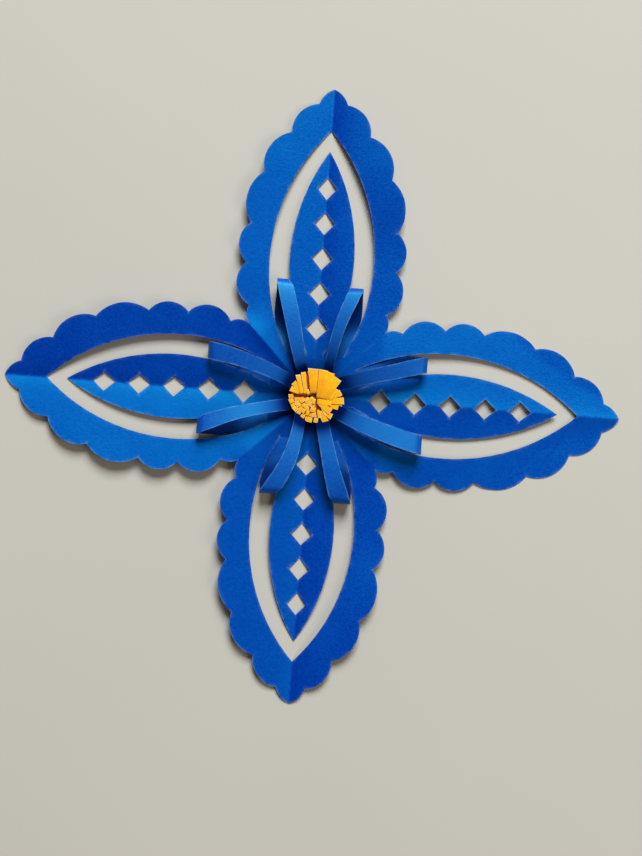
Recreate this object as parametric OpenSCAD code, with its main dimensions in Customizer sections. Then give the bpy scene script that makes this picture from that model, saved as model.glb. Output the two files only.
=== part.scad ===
// Paper snowflake star: one folded and cut sheet with eight curled loops and a fringed paper flower.
// Millimetres. The star lies face up on the XY plane, its top petal points along +Y.
// Each petal is drawn flat, petal axis along +Y, then tilted about its crease and turned into place.

/* [Sheet] */
// Distance between the tips of two opposite petals
span = 290; // [260:1:320]
// Thickness of the card
card_t = 0.3; // [0.2:0.05:0.4]
// Gap left at each bending line between two panels
bend_gap = 0.7; // [0.5:0.05:0.9]

/* [Folds] */
// Rise of the petal halves that meet a raised diagonal, in degrees
valley_fold = 8; // [5:0.5:10]
// Rise of the petal halves beside the ridged petal, in degrees
soft_fold = 6; // [4:0.5:8]
// Fall of the two halves of the ridged petal, in degrees
ridge_fold = 4; // [3:0.5:4.5]
// Downward tilt of the ridged petal from the hub to its tip, in degrees
ridge_droop = 2.4; // [1.5:0.1:2.4]

/* [Petal cut-outs] */
// Half width of the long pointed slot
slot_half = 24.5; // [23:0.1:25.5]
// Half width of the inner leaf
leaf_half = 15.1; // [13.5:0.1:15.5]
// Number of diamonds along each leaf crease
diamonds = 5; // [3:1:5]
// Half diagonal of a diamond
diamond_half = 5.2; // [3.5:0.1:5.6]

/* [Loops] */
// Radius of the curl at the outer end of a loop
curl_r = 4.1; // [3.5:0.1:4.3]
// Side clearance of a loop in its slot
loop_clear = 0.4; // [0.3:0.05:0.6]

/* [Flower] */
// Radius of the open flower
flower_r = 13; // [11:0.5:15]
// Number of slivers in the widest fringe row
slivers = 22; // [14:1:26]
// How far the flower sits to the right of the star centre
flower_right = 1.8; // [0:0.1:2]
// How far the flower sits above the star centre
flower_up = 0.3; // [0:0.1:1.5]

/* [Hidden] */
$fn = 96;

k = span / 290;
hinge_v = 32.3;                   // petal bending line, distance from the star centre
root_v = 20;                      // slot ends and leaf bending line
disc_r = 5;                       // the flattened middle under the flower
slot_r = 91.2;
slot_v = 63;
leaf_r = 94;
leaf_v = 64.5;
far = 200;
root_e = root_v - bend_gap / 2;   // outer edges of a hub panel
hinge_e = hinge_v - bend_gap / 2;
ridge_slope = tan(soft_fold) + tan(ridge_fold);
ridge_rise = atan(ridge_slope * cos(ridge_fold));
ridge_z = hinge_v * k * ridge_slope;
root_z = root_v * k * ridge_slope;

// corners between the scallops of one petal side, from the tip to the notch, and the bulge of each scallop
cusps = [[0, 145], [6.8, 137.5], [18.6, 123], [30, 103.5], [34.6, 79], [35.3, 60.5], [32.5, 40.5],
         [hinge_v, hinge_v]];
bulges = [1.1, 3.8, 4.7, 4.9, 4.4, 5.2, 1.1];

function slot_u(v, grow = 0) = slot_half - slot_r + sqrt(pow(slot_r + grow, 2) - pow(slot_v - v, 2));
function leaf_u(v, grow = 0) = leaf_half - leaf_r + sqrt(pow(leaf_r + grow, 2) - pow(leaf_v - v, 2));

// moving along an arc of radius r from heading h to heading g, and the point r to the left of a heading
function turned(p, r, h, g) = p + r * [sin(g) - sin(h), cos(h) - cos(g)];
function left_of(p, r, h) = p + r * [-sin(h), cos(h)];
function arc_steps(p, r, h, g, n) =
    [for (i = [1 : n]) [turned(p, r, h, h + (g - h) * i / n), h + (g - h) * i / n]];

// points along a circular segment of height s that stands on the left of the line from a to b
function scallop(a, b, s, n = 12) =
    let (c = norm(b - a), r = (c * c / 4 + s * s) / (2 * s), along = (b - a) / c, out = [-along[1], along[0]],
         middle = (a + b) / 2 - (r - s) * out, half = asin(c / 2 / r))
    [for (i = [0 : n - 1]) let (t = half * (2 * i / n - 1)) middle + r * (sin(t) * along + cos(t) * out)];

// right-hand half of a petal with its scalloped side
module petal_half() {
    side = [for (i = [0 : len(bulges) - 1]) each scallop(cusps[i], cusps[i + 1], bulges[i])];
    polygon(concat([[0, 0]], side, [[hinge_v, hinge_v]]));
}

module slot_disc(grow = 0) { translate([slot_half - slot_r, slot_v]) circle(slot_r + grow); }
module leaf_disc(grow = 0) { translate([leaf_half - leaf_r, leaf_v]) circle(leaf_r + grow); }
module beyond(v) { translate([0, v]) square([far, far]); }

module frame_shape() {
    difference() {
        intersection() { petal_half(); beyond(hinge_v + bend_gap / 2); }
        slot_disc();
    }
}

module leaf_shape() {
    difference() {
        intersection() { leaf_disc(); beyond(root_v + bend_gap / 2); }
        for (i = [0 : diamonds - 1]) translate([0, 32 + 16.5 * i])
            polygon([[diamond_half - 0.15 * i, 0], [0, diamond_half], [-far, 0], [0, -diamond_half]]);
    }
}

module hub_shape() {
    u = slot_u(root_e);
    difference() {
        polygon([[0, 0.05], [0, root_e], [u, root_e], [u, hinge_e], [hinge_e - 0.05, hinge_e]]);
        intersection() { slot_disc(); beyond(root_e); }
        circle(disc_r + 0.3);
    }
}

// a flat half panel that rises from a valley crease on the table
module rising(deg) {
    translate([0, 0, card_t]) rotate([0, -deg, 0]) translate([0, 0, -card_t])
        linear_extrude(card_t) scale(k) children();
}

// a flat half panel that falls from a ridge crease at height z
module falling(deg, z) {
    translate([0, 0, z]) rotate([0, deg, 0]) linear_extrude(card_t) scale(k) children();
}

// tilt about a bending line parallel to X, at distance v and height z
module pitch(deg, v, z) {
    translate([0, v * k, z]) rotate([deg, 0, 0]) translate([0, -v * k, -z]) children();
}

module other_side() { mirror([1, 0, 0]) children(); }
module to_left() { rotate(90) children(); }
module to_bottom() { rotate(180) children(); }
module to_right() { rotate(-90) children(); }

module centre_panel() { color("royalblue") cylinder(r = disc_r * k, h = card_t); }

// one eighth of the hub, between a petal axis and a diagonal: it leans up sideways and may rise outwards
module hub_panel(lean, rise = 0) {
    color("mediumblue") intersection() {
        linear_extrude(20) scale(k) hub_shape();
        rotate([rise, -lean, 0]) translate([-10, -10, 0]) cube([90, 90, card_t]);
    }
}
module hub_top_right() { hub_panel(soft_fold); }
module hub_top_left() { other_side() hub_panel(valley_fold); }
module hub_left_upper() { to_left() hub_panel(valley_fold); }
module hub_left_lower() { to_left() other_side() hub_panel(valley_fold); }
module hub_bottom_left() { to_bottom() hub_panel(valley_fold); }
module hub_bottom_right() { to_bottom() other_side() hub_panel(soft_fold); }
module hub_right_lower() { to_right() hub_panel(-ridge_fold, ridge_rise); }
module hub_right_upper() { to_right() other_side() hub_panel(-ridge_fold, ridge_rise); }

module valley_frame(deg) { color("blue") rising(deg) frame_shape(); }
module ridge_frame() {
    color("blue") pitch(-ridge_droop, hinge_v, ridge_z) falling(ridge_fold, ridge_z) frame_shape();
}
module frame_top_right() { valley_frame(soft_fold); }
module frame_top_left() { other_side() valley_frame(valley_fold); }
module frame_left_upper() { to_left() valley_frame(valley_fold); }
module frame_left_lower() { to_left() other_side() valley_frame(valley_fold); }
module frame_bottom_left() { to_bottom() valley_frame(valley_fold); }
module frame_bottom_right() { to_bottom() other_side() valley_frame(soft_fold); }
module frame_right_lower() { to_right() ridge_frame(); }
module frame_right_upper() { to_right() other_side() ridge_frame(); }

module valley_leaf(deg) { color("steelblue") rising(deg) leaf_shape(); }
module ridge_leaf() {
    color("steelblue") pitch(-0.5, root_v, root_z) falling(ridge_fold, root_z) leaf_shape();
}
module leaf_top_right() { valley_leaf(soft_fold); }
module leaf_top_left() { other_side() valley_leaf(valley_fold); }
module leaf_left_upper() { to_left() valley_leaf(valley_fold); }
module leaf_left_lower() { to_left() other_side() valley_leaf(valley_fold); }
module leaf_bottom_left() { to_bottom() valley_leaf(valley_fold); }
module leaf_bottom_right() { to_bottom() other_side() valley_leaf(soft_fold); }
module leaf_right_lower() { to_right() ridge_leaf(); }
module leaf_right_upper() { to_right() other_side() ridge_leaf(); }

function bowed(a, b, s, t) = a + t * (b - a) + 4 * s * t * (1 - t) * [a[1] - b[1], b[0] - a[0]] / norm(b - a);

// centre line of a loop seen from the side, each point with its heading. It leaves the hub at height low,
// lifts, curls back at its outer end, and comes down steeply to the flower's glue
bend_r = curl_r + card_t / 2;
foot_r = 4;
over = 184.5;
crest = 189.5;
steep = 212;
land_z = 2.6;
function loop_path(low, lift) =
    let (p0 = [root_v + bend_gap / 2, low], lift_r = (33.9 - bend_r) / sin(lift),
         p1 = turned(p0, lift_r, 0, lift), p2 = turned(p1, bend_r, lift, over),
         p3 = turned(p2, 150, over, crest),
         foot = foot_r * (1 + cos(steep)),
         drop_r = (p3[1] - land_z - foot) / (cos(steep) - cos(crest)),
         p4 = turned(p3, drop_r, crest, steep))
    concat([[p0, 0]], arc_steps(p0, lift_r, 0, lift, 4), arc_steps(p1, bend_r, lift, over, 14),
        arc_steps(p2, 150, over, crest, 3), arc_steps(p3, drop_r, crest, steep, 7),
        arc_steps(p4, -foot_r, steep, 180, 5), [[[6.5, land_z], 180]]);

module loop_side(path) {
    half = card_t / 2;
    last = len(path) - 1;
    polygon(concat([for (q = path) left_of(q[0], half, q[1])],
                   [for (i = [last : -1 : 0]) left_of(path[i][0], -half, path[i][1])]));
}

// outer end of the loops, and the strip's two sides there
tip_v = root_v + bend_gap / 2 + 33.9 - 0.6;
tip_out = slot_u(tip_v, -loop_clear);
tip_in = leaf_u(tip_v, loop_clear);

// plan of the strip while it still lies along its slot, and on its way back to the centre
plan_low = concat(
    [for (i = [0 : 5]) let (v = root_v + (tip_v + 1 - root_v) * i / 5) [slot_u(v, -loop_clear), v]],
    [for (i = [5 : -1 : 0]) let (v = root_v + (tip_v + 1 - root_v) * i / 5) [leaf_u(v, loop_clear), v]]);
plan_high = concat(
    [[tip_in, tip_v + 1], [tip_out, tip_v + 1]],
    [for (i = [0 : 6]) bowed([tip_out, tip_v], [6.4, 5], 2.4, i / 6)],
    [for (i = [6 : -1 : 0]) bowed([tip_in, tip_v], [1.5, 5], 1.2, i / 6)]);

module swept() { rotate([90, 0, 90]) linear_extrude(40) children(); }

// side view of the space between the strip's outward and homeward runs, and all below it
module low_zone(low) {
    polygon([[root_v, -2], [root_v, low + 1.6], [tip_v - 3, low + 6], [tip_v + 3, low + 6], [tip_v + 3, -2]]);
}

module loop_strip(low = 1.3, lift = 7.8) {
    color("dodgerblue") scale(k) difference() {
        swept() loop_side(loop_path(low, lift));
        intersection() {
            swept() low_zone(low);
            translate([0, 0, -1]) linear_extrude(20) difference() { square([50, 60]); polygon(plan_low); }
        }
        difference() {
            translate([0, 0, -1]) linear_extrude(20) difference() {
                square([50, 60]);
                difference() {
                    polygon(plan_high);
                    polygon([[0, 0.2], [far, far + 0.2], [far, -1], [0, -1]]);
                }
            }
            swept() low_zone(low);
        }
    }
}
module loop_top_right() { loop_strip(); }
module loop_top_left() { other_side() loop_strip(); }
module loop_left_upper() { to_left() loop_strip(); }
module loop_left_lower() { to_left() other_side() loop_strip(); }
module loop_bottom_left() { to_bottom() loop_strip(); }
module loop_bottom_right() { to_bottom() other_side() loop_strip(); }
module loop_right_lower() { to_right() loop_strip(3.1, 5); }
module loop_right_upper() { to_right() other_side() loop_strip(3.1, 5); }

// the flower: a fringed strip rolled up, its slivers folded outwards
glue_z = (land_z + card_t / 2) * k;
coil_z = glue_z + 0.3;
coil_h = 2;
roll_pitch = 0.6;
roll_wall = 0.35;

module at_flower(z) { translate([flower_right, flower_up, z]) children(); }

module glue_pad() { color("ivory") at_flower(glue_z) cylinder(r = 9, h = 0.3); }

module half_ring(r) {
    intersection() {
        difference() { circle(r + roll_wall / 2); circle(r - roll_wall / 2); }
        translate([-2 * r - 1, 0]) square([4 * r + 2, 2 * r + 1]);
    }
}

module flower_coil() {
    color("orange") at_flower(coil_z) linear_extrude(coil_h)
        for (i = [0 : 5]) {
            half_ring(0.7 + roll_pitch * i);
            translate([-roll_pitch / 2, 0]) rotate(180) half_ring(0.7 + roll_pitch * (i + 0.5));
        }
}

// one fringe row: a ring of the rolled strip with n slivers of the given reach, tilted up by deg
module fringe(ring_r, rise, n, reach, deg, start = 0) {
    long = (reach - ring_r) / cos(deg);
    w = 0.86 * PI * reach / n;
    at_flower(coil_z + coil_h) {
        difference() {
            cylinder(r = ring_r + 0.2, h = rise + 0.3);
            translate([0, 0, -1]) cylinder(r = ring_r - 0.2, h = rise + 3);
        }
        for (i = [0 : n - 1]) rotate(start + i * 360 / n)
            translate([ring_r - 0.05, 0, rise]) rotate([0, -deg, 0])
                linear_extrude(0.3) polygon([[0, -w / 3], [long, -w], [long, w], [0, w / 3]]);
    }
}
module fringe_wide() { color("gold") fringe(3.9, 0.4, slivers, flower_r, 1); }
module fringe_middle() { color("orange") fringe(2.9, 1.2, slivers - 4, flower_r * 0.86, 3, 5); }
module fringe_inner() { color("gold") fringe(1.9, 2, slivers - 8, flower_r * 0.62, 9, 11); }
module fringe_eye() { color("orangered") fringe(0.8, 2.7, 7, flower_r * 0.3, 30, 7); }

centre_panel();
hub_top_left();
hub_top_right();
hub_left_upper();
hub_left_lower();
hub_bottom_left();
hub_bottom_right();
hub_right_upper();
hub_right_lower();
frame_top_left();
frame_top_right();
frame_left_upper();
frame_left_lower();
frame_bottom_left();
frame_bottom_right();
frame_right_upper();
frame_right_lower();
leaf_top_left();
leaf_top_right();
leaf_left_upper();
leaf_left_lower();
leaf_bottom_left();
leaf_bottom_right();
leaf_right_upper();
leaf_right_lower();
loop_top_left();
loop_top_right();
loop_left_upper();
loop_left_lower();
loop_bottom_left();
loop_bottom_right();
loop_right_upper();
loop_right_lower();
glue_pad();
flower_coil();
fringe_wide();
fringe_middle();
fringe_inner();
fringe_eye();
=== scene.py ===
import math
import random

import bpy
import numpy as np
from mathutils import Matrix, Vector, geometry, noise


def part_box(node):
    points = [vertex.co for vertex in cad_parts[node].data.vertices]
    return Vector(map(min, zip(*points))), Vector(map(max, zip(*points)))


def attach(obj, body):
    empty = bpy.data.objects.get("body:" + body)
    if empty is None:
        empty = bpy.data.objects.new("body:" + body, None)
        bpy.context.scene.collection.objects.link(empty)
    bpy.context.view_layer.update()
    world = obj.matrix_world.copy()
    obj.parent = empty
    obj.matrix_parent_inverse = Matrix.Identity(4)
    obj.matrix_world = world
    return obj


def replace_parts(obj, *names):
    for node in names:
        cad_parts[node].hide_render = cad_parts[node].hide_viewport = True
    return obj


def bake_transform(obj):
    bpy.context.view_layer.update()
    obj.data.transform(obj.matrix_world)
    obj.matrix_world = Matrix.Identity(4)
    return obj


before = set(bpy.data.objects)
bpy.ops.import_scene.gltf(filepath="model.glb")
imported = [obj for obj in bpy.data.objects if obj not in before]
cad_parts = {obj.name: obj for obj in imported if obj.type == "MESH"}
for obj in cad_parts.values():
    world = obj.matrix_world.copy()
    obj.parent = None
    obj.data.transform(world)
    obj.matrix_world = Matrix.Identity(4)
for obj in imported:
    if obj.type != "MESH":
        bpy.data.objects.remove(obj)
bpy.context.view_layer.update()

# plans are in the star's own millimetres, 290 from tip to tip, and unit turns them into metres
halfSpan = 145
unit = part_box("frame_top_right")[1].y / halfSpan
cardThick = (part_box("centre_panel")[1].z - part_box("centre_panel")[0].z) / unit
print("frame loaded, 1 star mm =", round(unit * 1000, 4), "mm, card", round(cardThick, 3))

petalForm = {
    "hingeOut": 32.3,      # bending line, from the star centre
    "rootOut": 20,         # where the slots begin
    "seamOut": 28,         # hub sheet ends and petal sheets begin
    "neckOut": 17.5,       # hub sheet ends and leaf sheets begin
    "blendEnd": 36.5,      # the bend of the petal sheet is over
    "leafBlendEnd": 22.5,  # the bend of the leaf sheet is over
    # arcs of the slot's outer edge and the leaf's edge: greatest half width, radius and widest place
    "slotHalf": 24.5, "slotArc": 91.2, "slotMiddle": 63,
    "leafHalf": 15.1, "leafArc": 94, "leafMiddle": 64.5,
    # diamond holes on the leaf's crease, each a little narrower than the one before
    "diamondFirst": 32, "diamondStep": 16.5, "diamondHalf": 5.2, "diamondNarrower": 0.15, "diamonds": 5,
    # where two scallops meet, from the tip inwards, and how far each scallop bulges
    "cusps": [(0, 145), (6.8, 137.5), (18.6, 123), (30, 103.5), (34.6, 79), (35.3, 60.5), (32.5, 40.5),
              (32.3, 32.3)],
    "bulges": [1.1, 3.7, 4.7, 4.9, 4.4, 5.2, 1.1],
}

# turn of each petal from +Y, how far its two halves lean up (u below 0, u above 0), in degrees,
# and how much steeper they are right beside the crease, where the card keeps its set
petals = {
    "top": {"turn": 0, "lean": (8, 6), "set": (5, 24)},
    "left": {"turn": 90, "lean": (8, 8), "set": (7, 15)},
    "bottom": {"turn": 180, "lean": (6, 8), "set": (17, 6)},
    "right": {"turn": -90, "lean": (-4, -4), "set": (-7, -12)},
}
# the right petal stands on a raised fold: its climb is the sum of two leans, then it droops in degrees
ridge = {"petal": "right", "climb": (6, 4), "droop": 2.4, "leafDroop": 0.5}
sheet = {
    "gap": 1.9, "rimIn": 0.4,                  # spacing of the mesh, and of its row beside every edge
    "creaseRows": (-1.1, -0.5, 0, 0.5, 1.1),   # rows of points along a crease
    "soften": 0.42,                            # roundness of a crease
    "longWave": (42, 0.22), "shortWave": (11, 0.05), "calm": (26, 60),
    # how wide the steep part beside a crease is, and where along a petal and a leaf it comes in
    "setFade": 6, "petalSet": (60, 112), "leafSet": (20, 42), "leafShare": 0.7,
    "pinchFrom": (8, 20), "pinchTo": (36, 54),
    "rimWidth": 0.75, "creaseWidth": 0.6,      # how wide the worn colour is
}

# how high the card is pinched up along each diagonal of the hub, by the signs of x and y,
# and how far that reaches on the side of the top or bottom petal and on the side of the left or right one
pinch = {(-1, 1): (1.8, 13, 5), (-1, -1): (1.0, 8, 8), (1, 1): (0.3, 8, 8), (1, -1): (1.0, 8, 8)}

# middle of the flower, which was glued a little off the centre of the star
flowerAt = (1.77, 0.27)


def smooth(a, b, x):
    t = min(1, max(0, (x - a) / (b - a)))
    return t * t * (3 - 2 * t)


def slope(degrees):
    return math.tan(math.radians(degrees))


def slotEdge(v, grow=0):
    f = petalForm
    return f["slotHalf"] - f["slotArc"] + math.sqrt((f["slotArc"] + grow) ** 2 - (f["slotMiddle"] - v) ** 2)


def leafEdge(v, grow=0):
    f = petalForm
    return f["leafHalf"] - f["leafArc"] + math.sqrt((f["leafArc"] + grow) ** 2 - (f["leafMiddle"] - v) ** 2)


def turned(points, degrees):
    c, s = math.cos(math.radians(degrees)), math.sin(math.radians(degrees))
    return [(c * x - s * y, s * x + c * y) for x, y in points]


def localOf(x, y, petal):
    return turned([(x, y)], -petals[petal]["turn"])[0]


def petalAt(x, y):
    if abs(y) >= abs(x):
        return "top" if y > 0 else "bottom"
    return "right" if x > 0 else "left"


def pinchedHeight(x, y):
    away = math.hypot(x, y)
    rise, wideUpright, wideLevel = pinch[(1 if x > 0 else -1, 1 if y > 0 else -1)]
    corner = rise * math.exp(-abs(abs(x) - abs(y)) / (wideUpright if abs(y) > abs(x) else wideLevel))
    return corner * smooth(*sheet["pinchFrom"], away) * (1 - smooth(*sheet["pinchTo"], away))


def foldedHeight(x, y, zone):
    # height of the folded sheet before any softening, zone is hub, petal or leaf
    petal = petalAt(x, y)
    u, v = localOf(x, y, petal)
    side = 0 if u < 0 else 1
    fade = sheet["setFade"]
    steeper = slope(petals[petal]["set"][side]) * fade * (1 - math.exp(-abs(u) / fade))
    steeper *= {"hub": 0, "petal": smooth(*sheet["petalSet"], v),
                "leaf": smooth(*sheet["leafSet"], v) * sheet["leafShare"]}[zone]
    if zone != "leaf":
        steeper += pinchedHeight(x, y)
    height = abs(u) * slope(petals[petal]["lean"][side])
    if petal != ridge["petal"]:
        return height + steeper
    knee = petalForm["rootOut" if zone == "leaf" else "hingeOut"]
    droop = ridge["leafDroop" if zone == "leaf" else "droop"]
    climb = slope(ridge["climb"][0]) + slope(ridge["climb"][1])
    return min(v, knee) * climb - max(0, v - knee) * slope(droop) + height + steeper


def wave(x, y, zone):
    # slight waviness of handled card, none near the centre and where pieces meet
    layer = 3.7 if zone == "leaf" else 9.1
    longReach, longHigh = sheet["longWave"]
    shortReach, shortHigh = sheet["shortWave"]
    long = noise.noise(Vector((x / longReach, y / longReach, layer))) * longHigh
    short = noise.noise(Vector((x / shortReach, y / shortReach, layer + 5))) * shortHigh
    return (long + short) * smooth(*sheet["calm"], math.hypot(x, y))


def sheetHeight(x, y, zone):
    # middle of the card, with its creases rounded by a small blur
    r = sheet["soften"]
    heights = [foldedHeight(x, y, zone)] * 2
    for i in range(8):
        a = i * math.pi / 4
        heights.append(foldedHeight(x + r * math.cos(a), y + r * math.sin(a), zone))
    z = sum(heights) / len(heights) + wave(x, y, zone)
    return max(z, 0) + cardThick / 2


def arcPoints(a, b, rise, steps=9):
    # points of a round segment that stands on the left of the line from a to b, without b
    a, b = Vector(a), Vector(b)
    chord = (b - a).length
    radius = (chord * chord / 4 + rise * rise) / (2 * rise)
    along = (b - a) / chord
    out = Vector((-along.y, along.x))
    middle = (a + b) / 2 - (radius - rise) * out
    half = math.asin(chord / 2 / radius)
    points = []
    for i in range(steps):
        t = half * (2 * i / steps - 1)
        points.append(tuple(middle + radius * (math.sin(t) * along + math.cos(t) * out)))
    return points


def dense(points, gap):
    # the same open line with points no further apart than gap
    made = [points[0]]
    for a, b in zip(points, points[1:]):
        n = max(1, math.ceil(math.dist(a, b) / gap))
        for i in range(1, n + 1):
            made.append((a[0] + (b[0] - a[0]) * i / n, a[1] + (b[1] - a[1]) * i / n))
    return made


def mirrored(points):
    return [(-x, y) for x, y in reversed(points)]


def scallops():
    # right-hand side of a petal from its tip down to the seam, then the straight piece on the diagonal
    f = petalForm
    side = []
    for a, b, rise in zip(f["cusps"], f["cusps"][1:], f["bulges"]):
        side += arcPoints(a, b, rise, max(5, round(math.dist(a, b) / 1.9)))
    side.append(f["cusps"][-1])
    return side


def sideAlong(edge, low, high, steps):
    # points of a slot's or a leaf's edge from low to high
    outs = [low + (high - low) * i / steps for i in range(steps + 1)]
    return [(edge(v), v) for v in outs]


def tipOf(middle, radius, half):
    return middle + math.sqrt(radius ** 2 - (radius - half) ** 2)


def insideLoop(points, loop):
    px, py = points[:, 0], points[:, 1]
    inside = np.zeros(len(points), bool)
    for (ax, ay), (bx, by) in zip(loop, loop[1:] + loop[:1]):
        cross = (ay > py) != (by > py)
        if ay != by:
            inside ^= cross & (px < (bx - ax) * (py - ay) / (by - ay) + ax)
    return inside


def nearest(points, lines):
    # distance from each point to the nearest of the line stretches
    best = np.full(len(points), 1e9)
    for a, b in lines:
        a, b = np.array(a), np.array(b)
        d = b - a
        t = np.clip(((points - a) @ d) / max(1e-12, d @ d), 0, 1)
        best = np.minimum(best, np.hypot(*(points - a - t[:, None] * d).T))
    return best


def stretches(line):
    return list(zip(line, line[1:]))


def meshFrom(name, verts, faces, slots, materials, attributes=()):
    mesh = bpy.data.meshes.new(name)
    mesh.from_pydata([tuple(c * unit for c in v) for v in verts], [], faces)
    for material in materials:
        mesh.materials.append(material)
    mesh.polygons.foreach_set("material_index", slots)
    mesh.polygons.foreach_set("use_smooth", [True] * len(faces))
    for label, values in attributes:
        made = mesh.attributes.new(label, "FLOAT", "POINT")
        made.data.foreach_set("value", np.array(values, np.float32))
    mesh.update()
    mesh.validate()
    obj = bpy.data.objects.new(name, mesh)
    bpy.context.scene.collection.objects.link(obj)
    return obj


def sharpenRims(obj, limit=40):
    # crisp cut edges, smooth faces
    mesh = obj.data
    normals = np.zeros(len(mesh.polygons) * 3, np.float32)
    mesh.polygons.foreach_get("normal", normals)
    normals = normals.reshape(-1, 3)
    sides = {}
    for p in mesh.polygons:
        for key in p.edge_keys:
            sides.setdefault(key, []).append(p.index)
    flags = []
    for e in mesh.edges:
        pair = sides.get(tuple(sorted(e.vertices)), [])
        flat = len(pair) == 2 and float(normals[pair[0]] @ normals[pair[1]]) > math.cos(math.radians(limit))
        flags.append(not flat)
    mark = mesh.attributes.get("sharp_edge") or mesh.attributes.new("sharp_edge", "BOOLEAN", "EDGE")
    mark.data.foreach_set("value", flags)


# settings of the painted shade round the flower: where it starts, how fast it fades, its strength, its most,
# how uneven it is and the angle where it is darkest
flowerShadeSettings = {"from": 12, "fade": 9.0, "strength": 1.2, "most": 0.95, "uneven": 0.24, "worst": 215}


def paintedShadeRoundFlower(x, y):
    # painted shade: the card's colour is darkened and its gloss dulled round the flower, most of all below
    # and left of it, where the flower and the loops would shade it
    h = flowerShadeSettings
    away = math.hypot(x - flowerAt[0], y - flowerAt[1])
    aside = math.atan2(y - flowerAt[1], x - flowerAt[0]) - math.radians(h["worst"])
    share = 1 - h["uneven"] + h["uneven"] * math.cos(aside)
    return min(h["most"], h["strength"] * math.exp(-max(0, away - h["from"]) / h["fade"])) * share


def besideLines(rimLines, creaseLines):
    # points a little to each side of every edge, and rows of points along the creases
    made = []
    for a, b in rimLines:
        d = Vector(b) - Vector(a)
        if d.length > 1e-6:
            side = Vector((-d.y, d.x)).normalized() * sheet["rimIn"]
            middle = (Vector(a) + Vector(b)) / 2
            made += [tuple(middle + side), tuple(middle - side)]
    for a, b in creaseLines:
        d = (Vector(b) - Vector(a)).normalized()
        side = Vector((-d.y, d.x))
        made += [tuple(Vector(a) + side * off) for off in sheet["creaseRows"]]
    return made


def looseGrid(loop):
    # staggered points over the whole of an outline, each moved a little
    gap = sheet["gap"]
    low = np.array(loop).min(0)
    high = np.array(loop).max(0)
    dice = random.Random(len(loop) + 7)
    rows = int((high[1] - low[1]) / (gap * 0.87)) + 1
    columns = int((high[0] - low[0]) / gap) + 2
    made = []
    for r in range(rows):
        for c in range(columns):
            made.append((low[0] + (c + 0.5 * (r % 2)) * gap + dice.uniform(-0.2, 0.2),
                         low[1] + r * gap * 0.87 + dice.uniform(-0.2, 0.2)))
    return made


def inCard(spots, loop, holes):
    keep = insideLoop(spots, loop)
    for h in holes:
        keep &= ~insideLoop(spots, h)
    return keep


def flatMesh(loop, holes, rimLines, creaseLines):
    # triangles between the edges, the creases and the loose points, without the holes
    points, edges = [], []
    for ring in [loop] + holes:
        start = len(points)
        points += ring
        edges += [(start + i, start + (i + 1) % len(ring)) for i in range(len(ring))]
    for candidates, clear, fromCrease in (
            (besideLines(rimLines, creaseLines), sheet["rimIn"] * 0.6, 0),
            (looseGrid(loop), sheet["rimIn"] + 0.55, 1.6)):
        spots = np.array(candidates, float)
        spots = spots[inCard(spots, loop, holes)]
        spots = spots[nearest(spots, rimLines) > clear]
        if fromCrease and creaseLines:
            spots = spots[nearest(spots, creaseLines) > fromCrease]
        points += [tuple(map(float, spot)) for spot in spots]
    flat, _, faces, _, _, _ = geometry.delaunay_2d_cdt([Vector(p) for p in points], edges, [], 0, 1e-5)
    spots = np.array([tuple(p) for p in flat], float)
    middles = np.array([spots[list(f)].mean(0) for f in faces])
    faces = [list(f) for f, keep in zip(faces, inCard(middles, loop, holes)) if keep]
    used = sorted({i for f in faces for i in f})
    renumber = {old: new for new, old in enumerate(used)}
    return spots[used], [[renumber[i] for i in f] for f in faces]


def twoSides(spots, heights, faces):
    # upper and lower side of a sheet, and the border that is still open between them
    count = len(spots)
    half = cardThick / 2
    verts = [(x, y, z + half) for (x, y), z in zip(spots, heights)]
    verts += [(x, y, z - half) for (x, y), z in zip(spots, heights)]
    sides = []
    border = {}
    for f in faces:
        a, b, c = (spots[i] for i in f)
        if (b[0] - a[0]) * (c[1] - a[1]) - (b[1] - a[1]) * (c[0] - a[0]) < 0:
            f.reverse()
        sides += [tuple(f), tuple(i + count for i in reversed(f))]
        for i, j in zip(f, f[1:] + f[:1]):
            if (j, i) in border:
                del border[(j, i)]
            else:
                border[(i, j)] = True
    return verts, sides, list(border)


def cardPiece(name, rim, holes, creases, heightAt):
    # rim is a list of (open line, cut or not) that closes on itself; holes are closed, creases open lines
    gap = sheet["gap"]
    loop, cutLines = [], []
    for line, isCut in rim:
        line = dense(line, gap)
        if isCut:
            cutLines += stretches(line)
        loop += line[:-1]
    holes = [dense(h + h[:1], gap)[:-1] for h in holes]
    holeLines = [stretch for h in holes for stretch in stretches(h + h[:1])]
    cutLines += holeLines
    creaseLines = [stretch for line in creases for stretch in stretches(dense(line, gap))]
    spots, faces = flatMesh(loop, holes, stretches(loop + loop[:1]) + holeLines, creaseLines)
    verts, shell, border = twoSides(spots, [heightAt(x, y) for x, y in spots], faces)
    slots = [0] * len(shell)
    count = len(spots)
    cutDistance = nearest(spots, cutLines)
    for i, j in border:
        shell.append((j, i, i + count, j + count))
        slots.append(1 if cutDistance[i] < 0.05 and cutDistance[j] < 0.05 else 0)
    rimShade = np.clip(1 - cutDistance / sheet["rimWidth"], 0, 1)
    creaseShade = np.exp(-(nearest(spots, creaseLines) / sheet["creaseWidth"]) ** 2)
    obj = meshFrom(name, verts, shell, slots, [paperBlue, paperCut],
                   [("rim", list(rimShade) * 2), ("crease", list(creaseShade) * 2),
                    ("shade", [paintedShadeRoundFlower(x, y) for x, y in spots] * 2)])
    sharpenRims(obj)
    return obj


def newGroup(name, inputs, outputs):
    group = bpy.data.node_groups.new(name, "ShaderNodeTree")
    for label, kind, value in inputs:
        s = group.interface.new_socket(name=label, in_out="INPUT", socket_type=kind)
        if value is not None:
            s.default_value = value
    for label, kind in outputs:
        group.interface.new_socket(name=label, in_out="OUTPUT", socket_type=kind)
    return group, group.nodes.new("NodeGroupInput"), group.nodes.new("NodeGroupOutput")


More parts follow.
